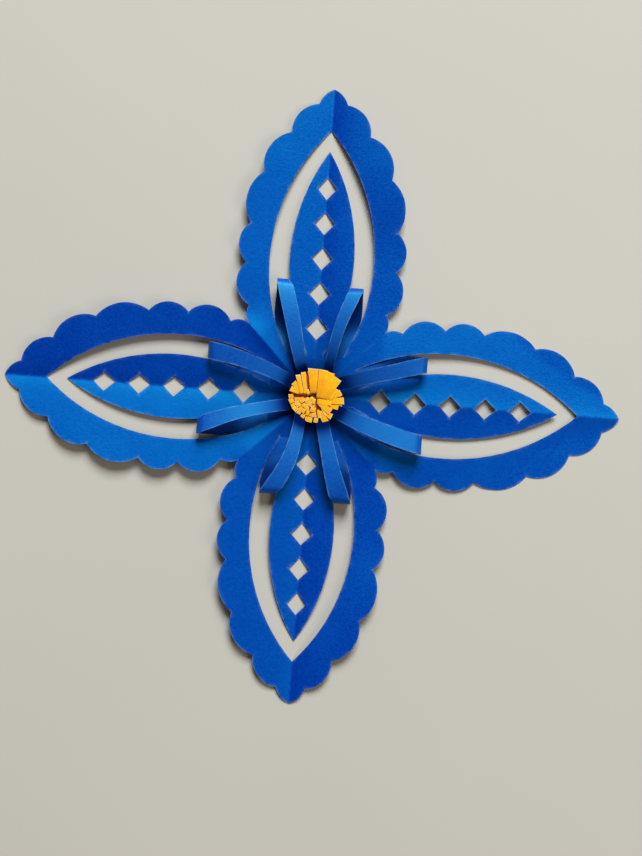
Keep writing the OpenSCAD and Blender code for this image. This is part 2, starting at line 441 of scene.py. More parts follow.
def node(tree, kind, inputs=None, **settings):
    made = tree.nodes.new(kind)
    for key, value in settings.items():
        setattr(made, key, value)
    for key, value in (inputs or {}).items():
        if isinstance(value, bpy.types.NodeSocket):
            tree.links.new(value, made.inputs[key])
        else:
            made.inputs[key].default_value = value
    return made


def math2(tree, operation, a, b=0.5, clamp=False):
    return node(tree, "ShaderNodeMath", {0: a, 1: b}, operation=operation, use_clamp=clamp).outputs[0]


def mapRange(tree, value, fromLow, fromHigh, toLow=0.0, toHigh=1.0):
    made = node(tree, "ShaderNodeMapRange", {0: value, 1: fromLow, 2: fromHigh, 3: toLow, 4: toHigh})
    return made.outputs[0]


def mixColour(tree, factor, a, b, mode="MIX"):
    made = node(tree, "ShaderNodeMix", data_type="RGBA", blend_type=mode)
    for key, value in (("Factor", factor), ("A", a), ("B", b)):
        place = next(s for s in made.inputs if s.name == key and (key == "Factor" or s.type == "RGBA"))
        if isinstance(value, bpy.types.NodeSocket):
            tree.links.new(value, place)
        else:
            place.default_value = value
    return next(s for s in made.outputs if s.type == "RGBA")


def paperGrainGroup():
    # fine tooth, short fibres and cloudy mottling of coloured card
    group, given, out = newGroup("paperGrain", [
        ("Place", "NodeSocketVector", None), ("Tooth Scale", "NodeSocketFloat", 1100),
        ("Fibre Scale", "NodeSocketFloat", 420), ("Cloud Scale", "NodeSocketFloat", 34)],
        [("Tooth", "NodeSocketFloat"), ("Fibre", "NodeSocketFloat"), ("Cloud", "NodeSocketFloat"),
         ("Height", "NodeSocketFloat")])
    place = given.outputs["Place"]
    tooth = node(group, "ShaderNodeTexNoise", {"Vector": place, "Scale": given.outputs["Tooth Scale"],
                                              "Detail": 3.0, "Roughness": 0.65}).outputs[0]
    fibres = []
    for angle in (0.5, 2.2):
        bent = node(group, "ShaderNodeMapping", {"Vector": place, "Rotation": (0, 0, angle),
                                                "Scale": (1, 7, 1)}).outputs[0]
        fibre = node(group, "ShaderNodeTexNoise", {"Vector": bent, "Scale": given.outputs["Fibre Scale"],
                                                   "Detail": 2.0, "Distortion": 0.6})
        fibres.append(fibre.outputs[0])
    fibre = math2(group, "MAXIMUM", fibres[0], fibres[1])
    fibre = mapRange(group, fibre, 0.56, 0.78)
    cloud = node(group, "ShaderNodeTexNoise", {"Vector": place, "Scale": given.outputs["Cloud Scale"],
                                              "Detail": 4.0, "Roughness": 0.6}).outputs[0]
    height = math2(group, "ADD", tooth, math2(group, "MULTIPLY", fibre, 0.5))
    for label, value in (("Tooth", tooth), ("Fibre", fibre), ("Cloud", cloud), ("Height", height)):
        group.links.new(value, out.inputs[label])
    return group


def cutWearGroup():
    # pale thin line where scissors opened the card, and rubbed colour along creases
    group, given, out = newGroup("cutWear", [
        ("Place", "NodeSocketVector", None), ("Rim", "NodeSocketFloat", 0.0),
        ("Crease", "NodeSocketFloat", 0.0), ("Rim Strength", "NodeSocketFloat", 0.6),
        ("Crease Strength", "NodeSocketFloat", 0.22)],
        [("Rim", "NodeSocketFloat"), ("Crease", "NodeSocketFloat")])
    patchy = node(group, "ShaderNodeTexNoise", {"Vector": given.outputs["Place"], "Scale": 260.0,
                                               "Detail": 3.0}).outputs[0]
    patchy = mapRange(group, patchy, 0.36, 0.62)
    rim = math2(group, "POWER", given.outputs["Rim"], 2.2, True)
    rim = math2(group, "MULTIPLY", rim, math2(group, "MULTIPLY", patchy, given.outputs["Rim Strength"]), True)
    crease = math2(group, "MULTIPLY", given.outputs["Crease"],
                   math2(group, "MULTIPLY", patchy, given.outputs["Crease Strength"]), True)
    group.links.new(rim, out.inputs["Rim"])
    group.links.new(crease, out.inputs["Crease"])
    return group


paperGrain = paperGrainGroup()
cutWear = cutWearGroup()


def newMaterial(name, roughness, specular, tint=(1, 1, 1, 1)):
    material = bpy.data.materials.new(name)
    material.use_nodes = True
    tree = material.node_tree
    shader = tree.nodes["Principled BSDF"]
    shader.inputs["Roughness"].default_value = roughness
    shader.inputs["Specular IOR Level"].default_value = specular
    shader.inputs["Specular Tint"].default_value = tint
    place = tree.nodes.new("ShaderNodeTexCoord").outputs["Object"]
    return material, tree, shader, place


def grainIn(tree, place, **scales):
    made = node(tree, "ShaderNodeGroup", node_tree=paperGrain)
    tree.links.new(place, made.inputs["Place"])
    for key, value in scales.items():
        made.inputs[key.capitalize() + " Scale"].default_value = value
    return made.outputs


def markOn(tree, label):
    # how much a point is rim, crease, painted shade, or painted shade and tone in the fringe, as its mesh
    # says
    return node(tree, "ShaderNodeAttribute", attribute_name=label).outputs["Fac"]


def bumpIn(tree, shader, height, strength, distance):
    made = node(tree, "ShaderNodeBump", {"Strength": strength, "Distance": distance, "Height": height})
    tree.links.new(made.outputs[0], shader.inputs["Normal"])


# shaded is the near-black blue of the painted shade that the shade mark mixes in
blueCard = {
    "deep": (0.0003, 0.013, 0.33, 1), "light": (0.0008, 0.034, 0.46, 1), "cloudy": (0.0015, 0.075, 0.52, 1),
    "rim": (0.20, 0.34, 0.78, 1), "worn": (0.02, 0.14, 0.60, 1), "shaded": (0.0002, 0.006, 0.07, 1),
    "roughness": 0.42, "specular": 1.0, "ior": 1.64, "tint": (0.01, 0.78, 1.0, 1),
}
# the loops' copy of the blue card has lighter colours, painted light for the sheen the curled strips catch;
# its shaded colour is painted shade
loopCardPaintedLight = {
    "deep": (0.0004, 0.026, 0.37, 1), "light": (0.0012, 0.058, 0.51, 1), "cloudy": (0.003, 0.11, 0.57, 1),
    "rim": (0.24, 0.42, 0.85, 1), "worn": (0.03, 0.18, 0.62, 1), "shaded": (0.0002, 0.004, 0.05, 1),
    "roughness": 0.48, "specular": 1.0, "ior": 1.7, "tint": (0.09, 0.86, 1.0, 1),
}


def cardMaterial(name, settings):
    material, tree, shader, place = newMaterial(name, settings["roughness"], settings["specular"],
                                                settings["tint"])
    grain = grainIn(tree, place)
    wear = node(tree, "ShaderNodeGroup", node_tree=cutWear)
    tree.links.new(place, wear.inputs["Place"])
    tree.links.new(markOn(tree, "rim"), wear.inputs["Rim"])
    tree.links.new(markOn(tree, "crease"), wear.inputs["Crease"])
    colour = mixColour(tree, mapRange(tree, grain["Tooth"], 0.3, 0.7), settings["deep"], settings["light"])
    cloud = mapRange(tree, grain["Cloud"], 0.5, 0.75, 0, 0.35)
    colour = mixColour(tree, cloud, colour, settings["cloudy"])
    colour = mixColour(tree, math2(tree, "MULTIPLY", grain["Fibre"], 0.25), colour, settings["cloudy"])
    colour = mixColour(tree, wear.outputs["Crease"], colour, settings["worn"])
    colour = mixColour(tree, wear.outputs["Rim"], colour, settings["rim"])
    # painted shade: where the shade mark is high the colour goes towards the shaded near-black, the card gets
    # rougher and its gloss fades
    shade = markOn(tree, "shade")
    colour = mixColour(tree, shade, colour, settings["shaded"])
    tree.links.new(colour, shader.inputs["Base Color"])
    middling = settings["roughness"]
    rough = mapRange(tree, grain["Tooth"], 0.3, 0.7, middling - 0.06, middling + 0.1)
    rough = math2(tree, "ADD", rough, math2(tree, "MULTIPLY", shade, 0.5), True)
    tree.links.new(rough, shader.inputs["Roughness"])
    shader.inputs["IOR"].default_value = settings["ior"]
    gloss = math2(tree, "SUBTRACT", 1.0, shade, True)
    gloss = math2(tree, "MULTIPLY", gloss, settings["specular"])
    tree.links.new(gloss, shader.inputs["Specular IOR Level"])
    bumpIn(tree, shader, grain["Height"], 0.6, 0.00006)
    return material


cutEdge = {"pale": (0.28, 0.40, 0.78, 1), "blue": (0.02, 0.16, 0.60, 1), "roughness": 0.8}


def cutEdgeMaterial(name, settings):
    material, tree, shader, place = newMaterial(name, settings["roughness"], 0.2)
    grain = grainIn(tree, place, tooth=2600)
    colour = mixColour(tree, mapRange(tree, grain["Tooth"], 0.35, 0.65), settings["pale"], settings["blue"])
    tree.links.new(colour, shader.inputs["Base Color"])
    bumpIn(tree, shader, grain["Height"], 0.5, 0.00006)
    return material


paperBlue = cardMaterial("blueCardFace", blueCard)
paperLoop = cardMaterial("curledCardFace", loopCardPaintedLight)
paperCut = cutEdgeMaterial("blueCardCut", cutEdge)
print("card materials ready")


def hubOutline():
    f = petalForm
    root, seam, neck = f["rootOut"], f["seamOut"], f["neckOut"]
    slot = sideAlong(slotEdge, root, seam, 8)
    leafHalf = leafEdge(root)
    rim = []
    for petal in ("top", "left", "bottom", "right"):
        turn = petals[petal]["turn"]
        parts = [
            ([(seam, seam), (slotEdge(seam), seam)], False),
            (list(reversed(slot)), True),
            ([(slotEdge(root), root), (leafHalf, root)], False),
            ([(leafHalf, root), (leafHalf, neck), (-leafHalf, neck), (-leafHalf, root)], False),
            ([(-leafHalf, root), (-slotEdge(root), root)], False),
            ([(-x, y) for x, y in slot], True),
            ([(-slotEdge(seam), seam), (-seam, seam)], False),
        ]
        rim += [(turned(line, turn), cut) for line, cut in parts]
    return rim


def hubSheet():
    f = petalForm
    corner = f["seamOut"] - 0.01
    creases = [turned([(0, 0.6), (0, f["neckOut"])], t) for t in (0, 90, 180, -90)]
    creases += [turned([(0.6, 0.6), (corner, corner)], t) for t in (0, 90, 180, -90)]
    obj = cardPiece("hubSheet", hubOutline(), [], creases, lambda x, y: sheetHeight(x, y, "hub"))
    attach(obj, "hub")
    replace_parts(obj, *[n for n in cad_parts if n.startswith("hub_") or n == "centre_panel"])
    return obj


def petalSheet(petal):
    f = petalForm
    turn = petals[petal]["turn"]
    side = scallops()
    slotTip = tipOf(f["slotMiddle"], f["slotArc"], f["slotHalf"])
    slot = sideAlong(slotEdge, f["seamOut"], slotTip, 40)
    rim = [
        ([(f["seamOut"], f["seamOut"]), side[-1]], False),
        (list(reversed(side)), True),
        ([(-x, y) for x, y in side], True),
        ([(-side[-1][0], side[-1][1]), (-f["seamOut"], f["seamOut"])], False),
        ([(-f["seamOut"], f["seamOut"]), (-slotEdge(f["seamOut"]), f["seamOut"])], False),
        ([(-x, y) for x, y in slot], True),
        (list(reversed(slot)), True),
        ([(slotEdge(f["seamOut"]), f["seamOut"]), (f["seamOut"], f["seamOut"])], False),
    ]
    rim = [(turned(line, turn), cut) for line, cut in rim]
    creases = [turned([(0, slotTip + 0.2), (0, halfSpan - 0.2)], turn)]
    obj = cardPiece(petal + "PetalSheet", rim, [], creases, lambda x, y: sheetHeight(x, y, "petal"))
    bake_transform(obj)
    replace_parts(obj, *[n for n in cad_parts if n.startswith("frame_" + petal)])
    return obj


def leafSheet(petal):
    f = petalForm
    turn = petals[petal]["turn"]
    leafTip = tipOf(f["leafMiddle"], f["leafArc"], f["leafHalf"])
    side = [(leafEdge(f["rootOut"]), f["neckOut"])] + sideAlong(leafEdge, f["rootOut"], leafTip, 44)
    rim = [
        ([(-side[0][0], side[0][1]), side[0]], False),
        (side, True),
        (mirrored(side), True),
    ]
    holes, creases = [], []
    last = f["neckOut"]
    for i in range(f["diamonds"]):
        v = f["diamondFirst"] + f["diamondStep"] * i
        tall = f["diamondHalf"]
        wide = tall - f["diamondNarrower"] * i
        holes.append(turned([(wide, v), (0, v + tall), (-wide, v), (0, v - tall)], turn))
        creases.append(turned([(0, last + 0.05), (0, v - tall - 0.05)], turn))
        last = v + tall
    creases.append(turned([(0, last + 0.05), (0, leafTip - 0.1)], turn))
    rim = [(turned(line, turn), cut) for line, cut in rim]
    obj = cardPiece(petal + "LeafSheet", rim, holes, creases, lambda x, y: sheetHeight(x, y, "leaf"))
    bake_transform(obj)
    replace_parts(obj, *[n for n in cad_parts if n.startswith("leaf_" + petal)])
    return obj


hubSheet()
for petal in petals:
    petalSheet(petal)
    leafSheet(petal)
print("hub, petal and leaf sheets ready")


# every strip starts at a lift in degrees from a height, bends round, runs back over the crest, gets steep
# and ends flat on its foot; clear is its distance from the sides of the slot
curl = {
    "start": (7.8, 1.3), "ridgeStart": (5, 3.1), "radius": 3.85, "over": 173, "crest": 190, "longArc": 80,
    "steep": 213, "foot": 4.0, "footOut": 6.5, "land": 2.6, "clear": 0.35, "twist": 0.95,
    # the last three set painted shade on the strips: where it starts round the flower, its most, and how dark
    # the inside of each loop is painted
    "paintedShadeFrom": 15.2, "paintedShadeMost": 0.95, "paintedShadeInside": 0.8,
}
# reach of the bend, the strip's two edges there and at the flower, the bow of those edges, and how far
# the painted shade goes from the flower
loops = {
    "top_left": {"petal": "top", "side": -1, "reach": 54.2, "end": (12.3, 20.1), "foot": (1.6, 6.4),
                 "bow": (-0.2, 0.6), "dark": 2.5},
    "top_right": {"petal": "top", "side": 1, "reach": 52.2, "end": (13.6, 20.6), "foot": (4.4, 8.4),
                  "bow": (-1.9, -2.1), "dark": 10},
    "left_upper": {"petal": "left", "side": 1, "reach": 50.2, "end": (13.4, 22.0), "foot": (1.3, 7.6),
                   "bow": (2.4, 2.2), "dark": 4.5},
    "left_lower": {"petal": "left", "side": -1, "reach": 53.0, "end": (12.2, 21.3), "foot": (0.8, 6.8),
                   "bow": (-0.7, -2.1), "dark": 5},
    "right_upper": {"petal": "right", "side": -1, "reach": 53.0, "end": (14.4, 22.0), "foot": (2.4, 8.0),
                    "bow": (0, 0.4), "dark": 9},
    "right_lower": {"petal": "right", "side": 1, "reach": 53.0, "end": (14.5, 23.4), "foot": (0.9, 7.2),
                    "bow": (1, 1.8), "dark": 4},
    "bottom_left": {"petal": "bottom", "side": 1, "reach": 47.2, "end": (11.0, 21.2), "foot": (2.5, 7.2),
                    "bow": (-2.8, -3.2), "dark": 3.5},
    "bottom_right": {"petal": "bottom", "side": -1, "reach": 49.5, "end": (11.3, 21.7), "foot": (1.3, 7.6),
                     "bow": (0.2, -0.7), "dark": 5},
}


def arcAlong(p, radius, start, end, steps):
    # points along an arc that starts at p; a heading of 0 points away from the centre
    made = []
    a = math.radians(start)
    for i in range(1, steps + 1):
        b = math.radians(start + (end - start) * i / steps)
        out, up = math.sin(b) - math.sin(a), math.cos(a) - math.cos(b)
        made.append((p[0] + radius * out, p[1] + radius * up))
    return made


def loopPath(reach, low, lift):
    # a strip's way from the root of its slot to the flower, seen from the side
    c = curl
    path = [(petalForm["rootOut"], low)]
    firstRadius = (reach - petalForm["rootOut"] - c["radius"]) / math.sin(math.radians(lift))
    path += arcAlong(path[-1], firstRadius, 0, lift, 18)
    path += arcAlong(path[-1], c["radius"], lift, c["over"], 22)
    path += arcAlong(path[-1], c["longArc"], c["over"], c["crest"], 8)
    steep, crest = math.radians(c["steep"]), math.radians(c["crest"])
    foot = c["foot"] * (1 + math.cos(steep))
    drop = (path[-1][1] - c["land"] - foot) / (math.cos(steep) - math.cos(crest))
    path += arcAlong(path[-1], drop, c["crest"], c["steep"], 16)
    path += arcAlong(path[-1], -c["foot"], c["steep"], 180, 8)
    for i in range(1, 5):
        path.append((path[-1][0] + (c["footOut"] - path[-1][0]) * i / 4, c["land"]))
    return path


def ribbonShell(rows, half, flip, openEnds=False):
    # a strip of paper from rows of points across it: upper side, lower side, cut sides and ends
    n, m = len(rows), len(rows[0])
    size = n * m
    verts, faces, slots = [], [], []
    for sign in (1, -1):
        for i in range(n):
            for j in range(m):
                along = rows[min(i + 1, n - 1)][j] - rows[max(i - 1, 0)][j]
                sideways = rows[i][min(j + 1, m - 1)] - rows[i][max(j - 1, 0)]
                normal = sideways.cross(along).normalized() * (1 if flip else -1)
                verts.append(tuple(rows[i][j] + normal * half * sign))

    def quad(a, b, c, d, slot):
        faces.append((a, b, c, d) if flip else (d, c, b, a))
        slots.append(slot)

    for i in range(n - 1):
        for j in range(m - 1):
            a = i * m + j
            quad(a, a + 1, a + m + 1, a + m, 0)
            quad(size + a, size + a + m, size + a + m + 1, size + a + 1, 0)
        a = i * m
        quad(a, a + m, size + a + m, size + a, 1)
        b = a + m - 1
        quad(b, size + b, size + b + m, b + m, 1)
    for j in range(m - 1):
        quad(j, size + j, size + j + 1, j + 1, 0)
        e = (n - 1) * m + j
        quad(e, e + 1, size + e + 1, size + e, 1 if openEnds else 0)
    return verts, faces, slots


def loopEdges(s, path, i, outmost, topOfBend):
    # the two edges of a strip, across the petal: in its slot on the way out, then turning to the flower
    v = path[i][0]
    end, foot, bow = s["end"], s["foot"], s["bow"]
    if i <= outmost:
        clear = 0.03 + curl["clear"] * smooth(26, 42, v)
        outer = slotEdge(v, -clear)
        return leafEdge(v, clear), outer + (min(end[1], outer) - outer) * smooth(24, s["reach"] - 5, v)
    t = (path[outmost][0] - v) / (path[outmost][0] - curl["footOut"])
    inner = end[0] + (foot[0] - end[0]) * t + 4 * bow[0] * t * (1 - t)
    outer = end[1] + (foot[1] - end[1]) * t + 4 * bow[1] * t * (1 - t)
    settle = smooth(outmost, topOfBend + 2, i)
    endInner = leafEdge(v, curl["clear"])
    endOuter = min(end[1], slotEdge(v, -curl["clear"]))
    return endInner + (inner - endInner) * settle, endOuter + (outer - endOuter) * settle


def loopRibbon(name, s):
    lift, low = curl["ridgeStart"] if s["petal"] == ridge["petal"] else curl["start"]
    path = loopPath(s["reach"], low, lift)
    across = [0, 0.04, 0.12, 0.3, 0.5, 0.7, 0.88, 0.96, 1]
    turn = petals[s["petal"]]["turn"]
    topOfBend = max(range(len(path)), key=lambda i: path[i][1])
    outmost = max(range(len(path)), key=lambda i: path[i][0])
    twist = curl["twist"] * random.Random(name).uniform(0.8, 1.2)
    rows = []
    for i, (v, z) in enumerate(path):
        inner, outer = loopEdges(s, path, i, outmost, topOfBend)
        atRoot = 1 - smooth(20, 33, v) if i < outmost else 0
        lean = twist * smooth(0, outmost, i) * (1 - smooth(len(path) - 22, len(path) - 7, i))
        row = []
        for a in across:
            u = s["side"] * (inner + (outer - inner) * a)
            x, y = turned([(u, v)], turn)[0]
            ground = sheetHeight(*turned([(u, petalForm["rootOut"])], turn)[0], "hub")
            row.append(Vector((x, y, z + (ground - z) * atRoot + lean * (a - 0.5))))
        rows.append(row)
    verts, faces, slots = ribbonShell(rows, cardThick / 2, s["side"] > 0)
    rimShade, dark = [], []
    for i, row in enumerate(rows):
        width = (row[-1] - row[0]).length
        rimShade += [max(0, 1 - min(a, 1 - a) * width / sheet["rimWidth"]) for a in across]
        # painted shade: the strip inside each loop, and every strip close to the flower, is darkened where
        # the loop and the flower would shade it
        inside = curl["paintedShadeInside"] * smooth(24, 38, path[i][0]) if i < outmost - 3 else 0
        for p in row:
            away = math.hypot(p.x - flowerAt[0], p.y - flowerAt[1])
            near = curl["paintedShadeMost"] * math.exp(-max(0, away - curl["paintedShadeFrom"]) / s["dark"])
            dark.append(max(inside, near))
    obj = meshFrom(name, verts, faces, slots, [paperLoop, paperCut],
                   [("rim", rimShade * 2), ("crease", [0] * len(verts)), ("shade", dark * 2)])
    sharpenRims(obj)
    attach(obj, "hub")
    return obj


for name, settings in loops.items():
    words = name.split("_")
    obj = loopRibbon("loop" + "".join(w.capitalize() for w in words), settings)
    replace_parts(obj, "loop_" + name)
print("loops ready")


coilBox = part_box("flower_coil")
flower = {
    "centre": flowerAt, "base": coilBox[0].z / unit, "coilTop": coilBox[1].z / unit,
    "turn": 4.3, "paper": 0.26, "bend": 0.7,
    # each sliver: where it leaves the roll, where its tip is, width at the roll and at the tip, height
    "fan": [((-1.0, 1.2), (-1.0, 12.7), 2.7, 4.9, 8.9), ((1.5, -1.1), (3.8, 12.1), 2.1, 4.2, 8.8),
            ((2.6, -1.3), (7.0, 10.9), 2.3, 4.2, 8.7), ((4.2, -1.5), (10.2, 8.3), 2.5, 4.5, 8.6),
            ((6.0, -2.0), (9.2, 3.6), 2.4, 3.2, 8.3), ((6.5, -0.9), (11.8, 1.6), 2.2, 2.9, 7.9),
            ((6.9, -2.6), (13.2, -2.3), 2.2, 3.3, 7.7), ((0.7, -2.5), (7.4, -3.3), 2.4, 2.6, 8.35),
            ((6.0, -4.4), (12.2, -5.5), 2.0, 3.0, 7.4)],
    "tongues": [((1.6, -3.2), (7.0, -7.4), 2.0, 3.1, 8.2), ((3.9, -7.6), (7.5, -9.8), 1.8, 2.7, 7.6),
                ((1.9, -7.2), (5.0, -12.5), 1.8, 3.1, 7.4), ((1.2, -6.6), (1.9, -10.2), 1.1, 1.6, 7.5),
                ((3.0, -4.9), (4.7, -8.2), 1.5, 1.9, 7.9),
                ((-4.5, 0.9), (-5.7, 11.1), 1.5, 2.2, 8.4), ((-6.2, 1.0), (-8.2, 9.9), 1.4, 2.2, 8.2),
                ((-6.9, 1.5), (-10.2, 6.4), 1.6, 2.6, 7.9), ((-7.6, 1.6), (-11.6, 3.5), 1.5, 2.6, 7.7),
                ((-2.9, 0.7), (-4.0, 2.9), 1.3, 1.5, 8.5)],
}
# rings of short square ends below and left of the middle: radius and how many, the first and last angle
# of the outermost ring, and how far each angle moves for every millimetre further in
squares = {"rings": [(12.2, 9), (9.9, 8), (7.7, 7), (5.5, 5), (3.4, 3)], "first": 177, "last": 275,
           "firstShift": 2.0, "lastShift": -1.3, "length": 2.1, "top": 9.0, "fall": 0.17, "jitter": 0.25}
# the row of longer slivers that shows between the others
lowSlivers = {"count": 22, "step": 16.4, "first": 4, "root": 3.9, "tip": 12.0, "shorter": 0.7,
              "rootWidth": 1.1, "tipWidth": 2.9, "top": 6.2, "lower": 0.25}


def sliverRows(inner, outer, baseWidth, tipWidth, top, dice, droop):
    # the paper rises from the roll, bends outwards and ends in a square tip
    f = flower
    low = f["coilTop"] - 1
    reach = math.dist(inner, outer)
    bend = min(f["bend"], reach * 0.35)
    line = [(0, low + (top - bend - low) * i / 3) for i in range(4)]
    for i in range(1, 6):
        a = math.radians(18 * i)
        line.append((bend * (1 - math.cos(a)), top - bend + bend * math.sin(a)))
    out = reach - bend
    steps = max(3, round(out / 0.9))
    for i in range(1, steps + 1):
        t = i / steps
        line.append((bend + out * t, top - droop * t * t - dice.uniform(0, 0.03)))
    heading = Vector((outer[0] - inner[0], outer[1] - inner[1])).normalized()
    turn = math.radians(f["turn"])
    roll = dice.uniform(-0.07, 0.07)
    skew = dice.uniform(-0.10, 0.10)
    across = [-1, -0.86, -0.4, 0.4, 0.86, 1]
    rows = []
    for i, (r, z) in enumerate(line):
        half = (baseWidth + (tipWidth - baseWidth) * r / reach) / 2
        row = []
        for a in across:
            side = a * half
            ahead = r + (skew * side if i > 8 else 0)
            crown = 0.07 * (1 - a * a) * min(1, half)
            px = inner[0] + heading.x * ahead - heading.y * side
            py = inner[1] + heading.y * ahead + heading.x * side
            x = f["centre"][0] + px * math.cos(turn) - py * math.sin(turn)
            y = f["centre"][1] + px * math.sin(turn) + py * math.cos(turn)
            row.append(Vector((x, y, z + crown + roll * side)))
        rows.append(row)
    return rows


def fromMiddle(degrees, radius):
    return (radius * math.cos(math.radians(degrees)), radius * math.sin(math.radians(degrees)))


def squareEnds():
    q = squares
    dice = random.Random(8)
    made = []
    for radius, count in q["rings"]:
        inwards = q["rings"][0][0] - radius
        first = q["first"] + q["firstShift"] * inwards
        step = (q["last"] + q["lastShift"] * inwards - first) / count
        for k in range(count):
            angle = first + step * (k + 0.5) + dice.uniform(-0.18, 0.18) * step
            r = radius + dice.uniform(-q["jitter"], q["jitter"])
            wide = math.radians(step) * r
            inner = fromMiddle(angle + dice.uniform(-3, 3), r - q["length"])
            outer = fromMiddle(angle, r + 0.1)
            tipWidth = wide * dice.uniform(0.84, 1.0)
            top = q["top"] - q["fall"] * radius + dice.uniform(-q["jitter"], q["jitter"])
            made.append((inner, outer, wide * 0.72, tipWidth, top))
    return made


def underRow():
    w = lowSlivers
    made = []
    for i in range(w["count"]):
        angle = i * w["step"] + w["first"]
        made.append((fromMiddle(angle, w["root"]), fromMiddle(angle, w["tip"] - w["shorter"] * (i % 3)),
                     w["rootWidth"], w["tipWidth"], w["top"] - w["lower"] * (i % 2)))
    return made


def fringePiece(name, slivers, droop, paintedShadeUnder, blush):
    # the row's painted shade darkens the whole row, for the row that lies under the others; blush darkens and
    # reddens the slivers towards the roll
    verts, faces, slots, rims, depths = [], [], [], [], []
    dice = random.Random(len(name) * 31 + len(slivers))
    rimShare = 3 if blush > 0.2 else 1
    for inner, outer, baseWidth, tipWidth, top in slivers:
        top = top + dice.uniform(-0.10, 0.10)
        rows = sliverRows(inner, outer, baseWidth, tipWidth, top, dice, droop)
        sliverVerts, sliverFaces, sliverSlots = ribbonShell(rows, flower["paper"] / 2, False, True)
        faces += [tuple(i + len(verts) for i in face) for face in sliverFaces]
        verts += sliverVerts
        slots += sliverSlots
        tone = dice.uniform(0, 0.08)
        sliverRims, sliverDepths = [], []
        for i, row in enumerate(rows):
            towardsRoll = 1 - smooth(0.3, 0.85, i / (len(rows) - 1))
            for j, p in enumerate(row):
                inward = min((p - row[0]).length, (row[-1] - p).length)
                toTip = (rows[-1][j] - p).length
                # painted shade where a sliver droops below its top; there it loses its pale rim too
                fallen = min(1, max(0, (top - 0.3 - p.z) / 1.3))
                cut = min(inward * rimShare, toTip)
                sliverRims.append(max(0, 1 - cut / 0.34) * (1 - max(paintedShadeUnder, fallen)))
                sliverDepths.append(max(paintedShadeUnder, fallen, tone + blush * towardsRoll))
        rims += sliverRims * 2
        depths += sliverDepths * 2
    obj = meshFrom(name, verts, faces, slots, [fringeFace, fringeCut], [("rim", rims), ("shadeAndTone", depths)])
    sharpenRims(obj, 50)
    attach(obj, "hub")
    return obj


# deep is the dark red the fringe's mark mixes in: painted shade under the lower row, where slivers droop and
# in the roll, reddening towards the roll, and a little random tone
yellowFringe = {"gold": (1.0, 0.44, 0.004, 1), "lemon": (1.0, 0.56, 0.008, 1), "tan": (1.0, 0.34, 0.02, 1),
                "rim": (1.0, 0.80, 0.44, 1), "deep": (0.50, 0.03, 0.006, 1), "roughness": 0.75}


def fringeMaterial(name, settings):
    material, tree, shader, place = newMaterial(name, settings["roughness"], 0.2, (1.0, 0.85, 0.4, 1))
    grain = grainIn(tree, place, tooth=1500, fibre=700, cloud=170)
    colour = mixColour(tree, mapRange(tree, grain["Tooth"], 0.3, 0.7), settings["gold"], settings["lemon"])
    colour = mixColour(tree, mapRange(tree, grain["Cloud"], 0.48, 0.68, 0, 0.8), colour, settings["tan"])
    wear = node(tree, "ShaderNodeGroup", node_tree=cutWear)
    tree.links.new(place, wear.inputs["Place"])
    wear.inputs["Rim Strength"].default_value = 1.0
    tree.links.new(node(tree, "ShaderNodeAttribute", attribute_name="rim").outputs["Fac"], wear.inputs["Rim"])
    # painted shade, with a little random tone, from the mesh's mark
    shadeAndTone = node(tree, "ShaderNodeAttribute", attribute_name="shadeAndTone").outputs["Fac"]
    colour = mixColour(tree, shadeAndTone, colour, settings["deep"])
    colour = mixColour(tree, wear.outputs["Rim"], colour, settings["rim"])
    tree.links.new(colour, shader.inputs["Base Color"])
    bumpIn(tree, shader, grain["Height"], 0.4, 0.00006)
    return material


paleFringe = {**yellowFringe, "gold": (1.0, 0.60, 0.16, 1), "lemon": (1.0, 0.70, 0.28, 1),
              "tan": (1.0, 0.55, 0.12, 1)}
# the roll is orange, and is coloured darker and redder than it is, painted shade for the gaps between the
# slivers
orangeRollPaintedShade = {**yellowFringe, "gold": (0.80, 0.20, 0.01, 1), "lemon": (0.85, 0.26, 0.015, 1),
              "tan": (0.70, 0.14, 0.01, 1)}
fringeFace = fringeMaterial("yellowFringeFace", yellowFringe)
fringeCut = fringeMaterial("yellowFringeCut", paleFringe)
for name, slivers, droop, paintedShadeUnder, blush, cadNode in (
        ("fringeUnderRow", underRow(), 0.9, 0.75, 0, "fringe_wide"),
        ("fringeFan", flower["fan"], 0.35, 0, 0.34, "fringe_middle"),
        ("fringeTongues", flower["tongues"], 0.3, 0, 0.08, "fringe_inner"),
        ("fringeSquares", squareEnds(), 0.15, 0, 0, "fringe_eye")):
    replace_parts(fringePiece(name, slivers, droop, paintedShadeUnder, blush), cadNode)
print("fringe ready")


coreFace = fringeMaterial("orangeRollPaintedShade", orangeRollPaintedShade)
rolled = {"turns": 6, "steps": 28, "first": 0.5, "pitch": 0.58, "wall": 0.26, "extra": 1.6}


def rolledCore():
    # the uncut part of the strip, wound round itself
    f, r = flower, rolled
    rows = []
    steps = r["turns"] * r["steps"]
    for i in range(steps + 1):
        a = i * 2 * math.pi / r["steps"]
        radius = r["first"] + r["pitch"] * a / (2 * math.pi)
        tall = f["coilTop"] + r["extra"] * (1 - i / steps) + 0.12 * math.sin(i * 1.7)
        x = f["centre"][0] + radius * math.cos(a)
        y = f["centre"][1] + radius * math.sin(a)
        rows.append([Vector((x, y, z)) for z in (f["base"] + 0.02, (f["base"] + tall) / 2, tall)])
    verts, faces, slots = ribbonShell(rows, r["wall"] / 2, False)
    # the whole roll carries painted shade, mixed towards the deep red
    obj = meshFrom("rolledCore", verts, faces, slots, [coreFace, fringeCut],
                   [("rim", [0] * len(verts)), ("shadeAndTone", [0.35] * len(verts))])
    sharpenRims(obj, 50)
    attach(obj, "hub")
    return obj


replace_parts(rolledCore(), "flower_coil")


glue = {"reach": 7.6, "ripple": 1.8, "thick": 0.42, "rings": 7, "steps": 64,
        "clear": (0.80, 0.76, 0.62, 1), "milky": (0.90, 0.88, 0.80, 1), "roughness": 0.28}


